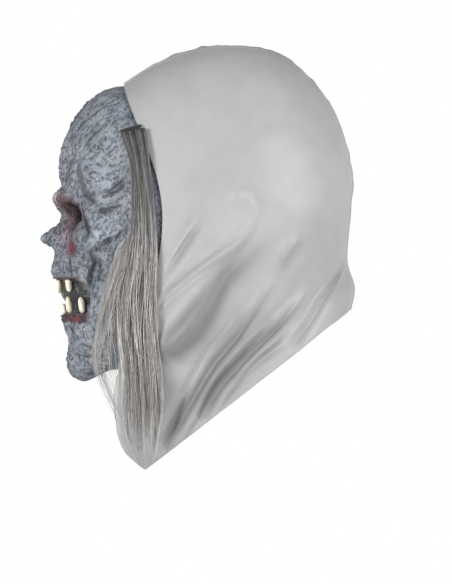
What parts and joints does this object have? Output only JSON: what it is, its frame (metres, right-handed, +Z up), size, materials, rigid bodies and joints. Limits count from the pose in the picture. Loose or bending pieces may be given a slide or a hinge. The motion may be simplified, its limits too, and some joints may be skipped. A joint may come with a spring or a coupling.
{
  "type": "latex halloween mask",
  "caption": "Full-head zombie mask: cast blue-grey latex face with ragged teeth, sewn into a silver stretch hood, with a hanging lock of hair on each side.",
  "frame": {"origin": "middle of the wearer's head, between the ears", "axes": "+Z up, the face looks along -Y, +X is the wearer's left"},
  "size_m": [0.169, 0.2488, 0.338],
  "materials": {
    "latex": "matt, painted",
    "insert_rubber": "gloss",
    "tooth_resin": "gloss, stained",
    "hair": "dull synthetic hair",
    "weft_tape": "matt",
    "stretch_jersey": "satin stretch jersey",
    "seam_tape": "matt overlock"
  },
  "bodies": {
    "mask": {"face_shell": "latex", "mouth_insert": "insert_rubber", "upper_left_inner_tooth": "tooth_resin", "upper_right_inner_tooth": "tooth_resin", "upper_left_outer_tooth": "tooth_resin", "upper_right_outer_tooth": "tooth_resin", "lower_left_inner_tooth": "tooth_resin", "lower_right_inner_tooth": "tooth_resin", "lower_left_middle_tooth": "tooth_resin", "lower_right_middle_tooth": "tooth_resin", "lower_left_outer_tooth": "tooth_resin", "lower_right_outer_tooth": "tooth_resin", "left_hair_weft": "weft_tape", "right_hair_weft": "weft_tape", "hood_left_panel": "stretch_jersey", "hood_right_panel": "stretch_jersey", "crown_seam": "seam_tape", "throat_seam": "seam_tape", "face_edge_hem": "stretch_jersey", "neck_hem": "stretch_jersey"},
    "left_lock": {"left_hair_lock": "hair", "left_hair_wisp": "hair"},
    "right_lock": {"right_hair_lock": "hair", "right_hair_wisp": "hair"}
  },
  "joints": [
    {"name": "left_lock_lift", "type": "hinge", "parent": "mask", "child": "left_lock", "pos_m": [0.0655, -0.081, 0.0755], "axis": [-0.2965, -0.9202, -0.2556], "range_deg": [0, 70]},
    {"name": "right_lock_lift", "type": "hinge", "parent": "mask", "child": "right_lock", "pos_m": [-0.0655, -0.081, 0.0755], "axis": [-0.2965, 0.9202, 0.2556], "range_deg": [0, 70]}
  ]
}
